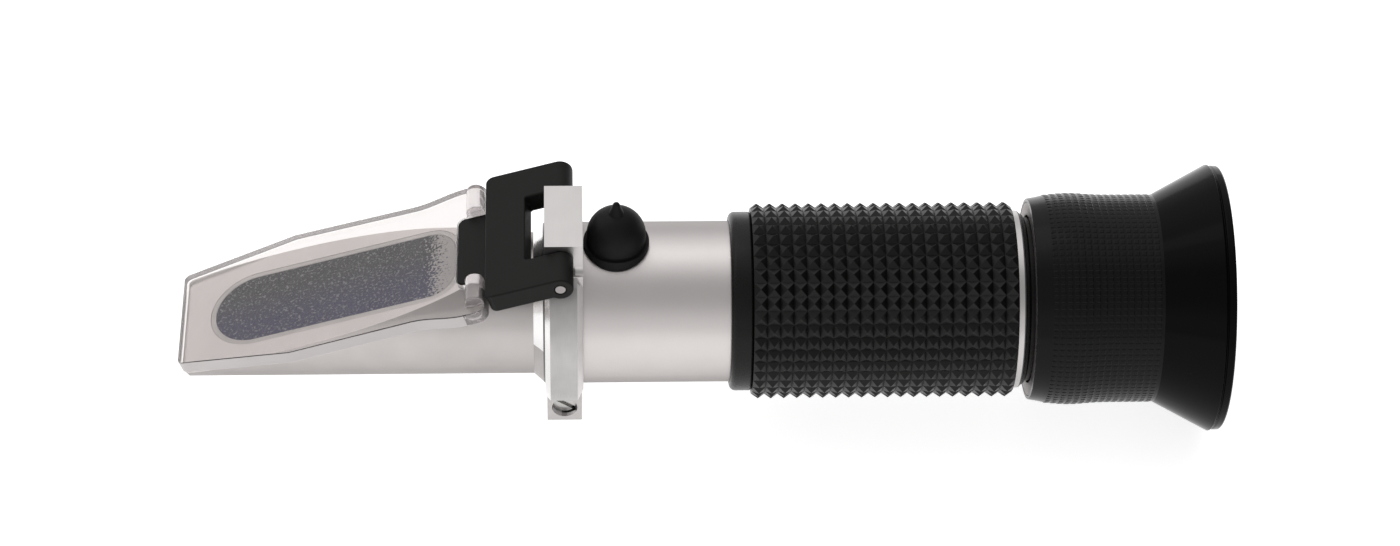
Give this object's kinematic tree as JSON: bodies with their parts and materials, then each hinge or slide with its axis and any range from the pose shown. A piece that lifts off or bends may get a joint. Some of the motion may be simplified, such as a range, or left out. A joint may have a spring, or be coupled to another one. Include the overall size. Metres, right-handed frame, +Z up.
{
  "type": "handheld refractometer",
  "caption": "Handheld refractometer: slanted prism under a hinged clear plate, capped calibration screw, studded rubber grip and a focusing eyepiece with a flared eyecup.",
  "frame": {"origin": "centre of the eyecup's rim, on the optical axis", "axes": "+X along the optical axis towards the eye, +Z up through the hinge block, +Y across to the right when looking from the prism towards the eye with +Z up"},
  "size_m": [0.166, 0.0428, 0.0436],
  "materials": {
    "satin_metal": "satin bead-blasted and plated",
    "ring_metal": "machined, satin with bright bevels",
    "pin_steel": "bright steel",
    "bracket_black": "fine matt black moulding",
    "clear_plate": "clear plastic, frosted underneath",
    "prism_glass": "polished glass",
    "seal": "matt sealing compound",
    "cap_rubber": "matt moulded rubber",
    "grip_rubber": "semi-matt moulded rubber",
    "collar_black": "smooth black moulding",
    "eyecup_rubber": "smooth, slightly glossy rubber",
    "black_anodised": "black anodised, light-absorbing",
    "brass": "turned brass",
    "lens_glass": "polished optical glass"
  },
  "bodies": {
    "root": {"prism_box": "satin_metal", "main_prism": "prism_glass", "prism_seal": "seal", "main_tube": "satin_metal", "clamp_ring": "ring_metal", "clamp_screw": "pin_steel", "hinge_pin": "pin_steel", "calibration_boss": "brass", "carrier_guide": "black_anodised", "guide_cover": "black_anodised", "baffle_tube": "black_anodised", "reticle_holder": "black_anodised", "reticle_glass": "lens_glass", "reticle_ring": "black_anodised", "grip_collar": "collar_black", "grip_sleeve": "grip_rubber", "end_ring": "ring_metal", "focus_barrel": "black_anodised"},
    "cover": {"hinge_bracket": "bracket_black", "daylight_plate": "clear_plate"},
    "cap": {"calibration_cap": "cap_rubber"},
    "adjuster": {"calibration_screw": "brass", "screw_clip": "pin_steel"},
    "carrier": {"objective_carrier": "black_anodised", "objective_lens": "lens_glass", "objective_ring": "black_anodised"},
    "optics": {"lens_cell": "black_anodised", "field_lens": "lens_glass", "lens_spacer": "black_anodised", "eye_lens": "lens_glass", "lens_ring": "black_anodised"},
    "eyepiece": {"eyepiece_barrel": "ring_metal", "eyecup": "eyecup_rubber"}
  },
  "joints": [
    {"name": "cover_hinge", "type": "hinge", "parent": "root", "child": "cover", "pos_m": [-0.1052, 0, 0.01627], "axis": [0, 1, 0], "range_deg": [0, 108]},
    {"name": "cap_pull", "type": "slide", "parent": "root", "child": "cap", "axis": [0, 0, 1], "range_m": [0, 0.009]},
    {"name": "calibration_turn", "type": "hinge", "parent": "root", "child": "adjuster", "pos_m": [-0.0964, 0, 0], "axis": [0, 0, 1], "range_deg": [-360, 360]},
    {"name": "carrier_lift", "type": "slide", "parent": "root", "child": "carrier", "axis": [0, 0, 1], "range_m": [-0.0005, 0.0005]},
    {"name": "focus_slide", "type": "slide", "parent": "root", "child": "optics", "axis": [1, 0, 0], "range_m": [0, 0.003]},
    {"name": "focus_turn", "type": "hinge", "parent": "optics", "child": "eyepiece", "pos_m": [0, 0, 0], "axis": [1, 0, 0], "range_deg": [0, 360]}
  ],
  "couplings": [
    {"joint": "focus_slide", "follows": "focus_turn", "m_per_rad": 0.00047746}
  ]
}
